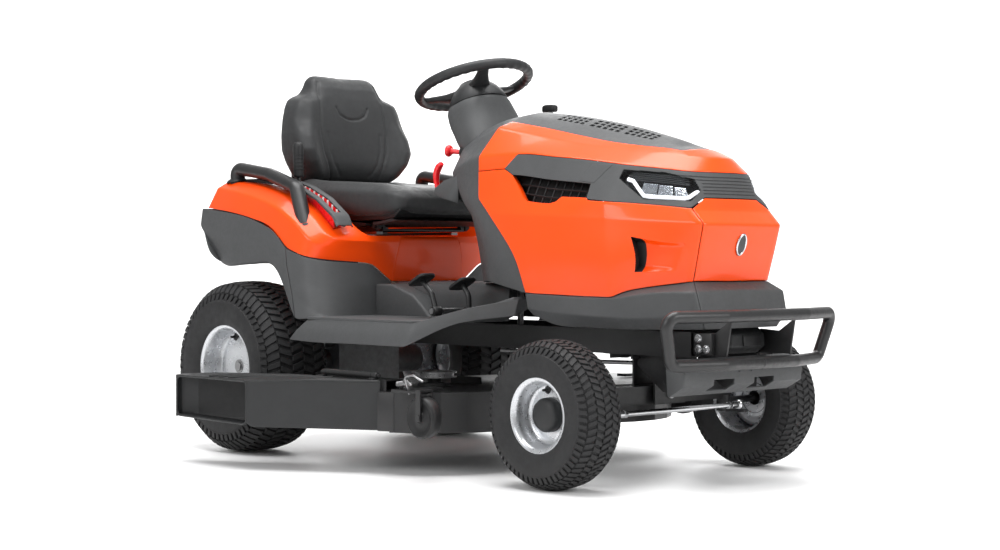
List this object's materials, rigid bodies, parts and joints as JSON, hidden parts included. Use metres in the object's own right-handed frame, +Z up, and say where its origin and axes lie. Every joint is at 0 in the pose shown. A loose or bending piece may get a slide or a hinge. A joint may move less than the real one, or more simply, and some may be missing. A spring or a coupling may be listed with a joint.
{
  "type": "riding lawn mower",
  "caption": "Ride-on lawn tractor with tilting hood, steered front axle, sprung pedals, sliding seat and a side-discharge cutting deck raised by a hand lever.",
  "frame": {"origin": "centre of the footprint box, on the ground under the tyres", "axes": "+X forward, +Y the operator's left, +Z up"},
  "size_m": [1.8869, 1.256, 1.15],
  "materials": {
    "orange_gloss": "moulded body panels, gloss",
    "grey_plastic": "moulded trim, fine texture",
    "dark_plastic": "moulded grips and covers",
    "lens": "clear lens",
    "black_steel": "black powder coat",
    "engine_metal": "cast engine and transaxle",
    "seat_vinyl": "grained vinyl",
    "tyre": "turf tread rubber",
    "rim_paint": "silver paint",
    "steel": "machined steel",
    "rubber": "belt rubber",
    "red_plastic": "red control",
    "tank_plastic": "natural polyethylene"
  },
  "bodies": {
    "chassis": {"hood_skirt": "grey_plastic", "lower_covers": "grey_plastic", "rear_fender": "orange_gloss", "footwell": "grey_plastic", "frame": "black_steel", "engine_block": "engine_metal", "engine_covers": "black_steel", "battery": "dark_plastic", "fuel_tank": "tank_plastic", "transaxle": "engine_metal", "drive_belt": "rubber", "fittings": "steel", "steering_column": "grey_plastic", "dash_tower": "grey_plastic", "front_guard": "black_steel", "front_valance": "black_steel", "grab_handles": "dark_plastic", "quadrant_console": "grey_plastic"},
    "hood": {"hood_shell": "orange_gloss", "hood_top_inlay": "grey_plastic", "grille_band": "grey_plastic", "headlamps": "lens", "side_intake_screens": "dark_plastic"},
    "crank": {"crankshaft": "steel"},
    "drive_pulley": {"transaxle_pulley": "steel"},
    "rear_wheel_left": {"rear_tyre_left": "tyre", "rear_rim_left": "rim_paint"},
    "rear_wheel_right": {"rear_tyre_right": "tyre", "rear_rim_right": "rim_paint"},
    "axle": {"front_axle_beam": "black_steel"},
    "knuckle_left": {"spindle_left": "black_steel"},
    "knuckle_right": {"spindle_right": "black_steel"},
    "front_wheel_left": {"front_tyre_left": "tyre", "front_rim_left": "rim_paint"},
    "front_wheel_right": {"front_tyre_right": "tyre", "front_rim_right": "rim_paint"},
    "track_rod": {"tie_rod": "steel"},
    "sector": {"sector_gear": "steel"},
    "link": {"drag_link": "steel"},
    "pinion": {"pinion_shaft": "steel"},
    "steering": {"steering_shaft": "steel", "steering_wheel": "dark_plastic"},
    "seat_slider": {"seat_slide_frame": "black_steel"},
    "seat": {"seat_pan": "dark_plastic", "seat_cushion": "seat_vinyl", "seat_back": "seat_vinyl"},
    "lift": {"lift_lever": "dark_plastic"},
    "deck": {"deck_shell": "black_steel"},
    "cutter_left": {"blade_left": "steel"},
    "cutter_right": {"blade_right": "steel"},
    "chute": {"discharge_chute": "dark_plastic"},
    "gauge_left": {"gauge_wheel_left": "dark_plastic"},
    "gauge_right": {"gauge_wheel_right": "dark_plastic"},
    "forward_pedal": {"pedal_forward": "dark_plastic"},
    "reverse_pedal": {"pedal_reverse": "dark_plastic"},
    "brake_pedal": {"pedal_brake": "dark_plastic"},
    "knob": {"blade_knob": "red_plastic"},
    "park": {"parking_lever": "red_plastic"},
    "throttle": {"throttle_lever": "dark_plastic"},
    "key": {"ignition_key": "steel"}
  },
  "joints": [
    {"name": "hood_open", "type": "hinge", "parent": "chassis", "child": "hood", "pos_m": [0.8295, 0.084, 0.505], "axis": [0, 1, 0], "range_deg": [0, 62]},
    {"name": "engine_turn", "type": "hinge", "parent": "chassis", "child": "crank", "pos_m": [0.4495, 0.084, 0.4], "axis": [0, 0, 1], "continuous": true},
    {"name": "pulley_turn", "type": "hinge", "parent": "chassis", "child": "drive_pulley", "pos_m": [-0.6905, 0.084, 0.33], "axis": [0, 0, 1], "continuous": true},
    {"name": "rear_left_roll", "type": "hinge", "parent": "chassis", "child": "rear_wheel_left", "pos_m": [-0.6905, 0.477, 0.253], "axis": [0, 1, 0], "continuous": true},
    {"name": "rear_right_roll", "type": "hinge", "parent": "chassis", "child": "rear_wheel_right", "pos_m": [-0.6905, -0.309, 0.253], "axis": [0, 1, 0], "continuous": true},
    {"name": "axle_rock", "type": "hinge", "parent": "chassis", "child": "axle", "pos_m": [0.5715, 0.084, 0.222], "axis": [1, 0, 0], "range_deg": [-4.5, 4.5]},
    {"name": "steer_left", "type": "hinge", "parent": "axle", "child": "knuckle_left", "pos_m": [0.5715, 0.352, 0.188], "axis": [0, 0, 1], "range_deg": [-30, 30]},
    {"name": "steer_right", "type": "hinge", "parent": "axle", "child": "knuckle_right", "pos_m": [0.5715, -0.184, 0.188], "axis": [0, 0, 1], "range_deg": [-30, 30]},
    {"name": "front_left_roll", "type": "hinge", "parent": "knuckle_left", "child": "front_wheel_left", "pos_m": [0.5715, 0.479, 0.188], "axis": [0, 1, 0], "continuous": true},
    {"name": "front_right_roll", "type": "hinge", "parent": "knuckle_right", "child": "front_wheel_right", "pos_m": [0.5715, -0.311, 0.188], "axis": [0, 1, 0], "continuous": true},
    {"name": "track_rod_swing", "type": "hinge", "parent": "knuckle_left", "child": "track_rod", "pos_m": [0.6395, 0.352, 0.182], "axis": [0, 0, 1], "range_deg": [-30, 30]},
    {"name": "sector_turn", "type": "hinge", "parent": "chassis", "child": "sector", "pos_m": [0.1415, 0.084, 0.27], "axis": [0, 0, 1], "range_deg": [-30, 30]},
    {"name": "link_swing", "type": "hinge", "parent": "sector", "child": "link", "pos_m": [0.1415, 0.144, 0.287], "axis": [0, 0, 1], "range_deg": [-30, 30]},
    {"name": "pinion_turn", "type": "hinge", "parent": "chassis", "child": "pinion", "pos_m": [0.0515, 0.084, 0.3], "axis": [0, 0, 1], "range_deg": [-195, 195]},
    {"name": "wheel_turn", "type": "hinge", "parent": "chassis", "child": "steering", "pos_m": [-0.1445, 0.084, 1.079], "axis": [-0.3206, 0, 0.9472], "range_deg": [-195, 195]},
    {"name": "seat_slide", "type": "slide", "parent": "chassis", "child": "seat_slider", "axis": [1, 0, 0], "range_m": [-0.05, 0.06]},
    {"name": "seat_tilt", "type": "hinge", "parent": "seat_slider", "child": "seat", "pos_m": [-0.3725, 0.084, 0.668], "axis": [0, 1, 0], "range_deg": [0, 40]},
    {"name": "lift_swing", "type": "hinge", "parent": "chassis", "child": "lift", "pos_m": [-0.5495, -0.24, 0.57], "axis": [0, 1, 0], "range_deg": [0, 30]},
    {"name": "deck_height", "type": "slide", "parent": "chassis", "child": "deck", "axis": [0, 0, 1], "range_m": [-0.075, 0]},
    {"name": "blade_left_spin", "type": "hinge", "parent": "deck", "child": "cutter_left", "pos_m": [0.0245, 0.334, 0.2], "axis": [0, 0, 1], "continuous": true},
    {"name": "blade_right_spin", "type": "hinge", "parent": "deck", "child": "cutter_right", "pos_m": [-0.0355, -0.166, 0.2], "axis": [0, 0, 1], "continuous": true},
    {"name": "chute_swing", "type": "hinge", "parent": "deck", "child": "chute", "pos_m": [-0.0905, -0.419, 0.262], "axis": [-1, 0, 0], "range_deg": [0, 80]},
    {"name": "gauge_left_roll", "type": "hinge", "parent": "deck", "child": "gauge_left", "pos_m": [0.2145, 0.604, 0.168], "axis": [0, 1, 0], "continuous": true},
    {"name": "gauge_right_roll", "type": "hinge", "parent": "deck", "child": "gauge_right", "pos_m": [0.2535, -0.461, 0.168], "axis": [0, 1, 0], "continuous": true},
    {"name": "forward_press", "type": "hinge", "parent": "chassis", "child": "forward_pedal", "pos_m": [0.0095, -0.201, 0.43], "axis": [0, 1, 0], "range_deg": [0, 18]},
    {"name": "reverse_press", "type": "hinge", "parent": "chassis", "child": "reverse_pedal", "pos_m": [0.0995, -0.161, 0.43], "axis": [0, 1, 0], "range_deg": [0, 18]},
    {"name": "brake_press", "type": "hinge", "parent": "chassis", "child": "brake_pedal", "pos_m": [0.0695, 0.369, 0.43], "axis": [0, 1, 0], "range_deg": [0, 20]},
    {"name": "knob_pull", "type": "slide", "parent": "chassis", "child": "knob", "axis": [-0.9379, -0.328, 0.113], "range_m": [0, 0.012]},
    {"name": "park_pull", "type": "hinge", "parent": "chassis", "child": "park", "pos_m": [-0.0845, -0.106, 0.764], "axis": [0, 1, 0], "range_deg": [-25, 0]},
    {"name": "throttle_swing", "type": "hinge", "parent": "chassis", "child": "throttle", "pos_m": [0.0765, 0.18, 0.925], "axis": [0, 1, 0], "range_deg": [-14, 14]},
    {"name": "key_turn", "type": "hinge", "parent": "chassis", "child": "key", "pos_m": [-0.1005, 0.164, 0.89], "axis": [-0.995, 0, 0.0995], "range_deg": [0, 90]}
  ],
  "couplings": [
    {"joint": "steer_right", "follows": "steer_left", "ratio": 1},
    {"joint": "track_rod_swing", "follows": "steer_left", "ratio": -1},
    {"joint": "sector_turn", "follows": "steer_left", "ratio": -1},
    {"joint": "link_swing", "follows": "steer_left", "ratio": 1},
    {"joint": "pinion_turn", "follows": "steer_left", "ratio": 6.5},
    {"joint": "wheel_turn", "follows": "steer_left", "ratio": 6.5},
    {"joint": "pulley_turn", "follows": "engine_turn", "ratio": 1},
    {"joint": "blade_right_spin", "follows": "blade_left_spin", "ratio": 1},
    {"joint": "lift_swing", "follows": "deck_height", "rad_per_m": -6.98}
  ]
}
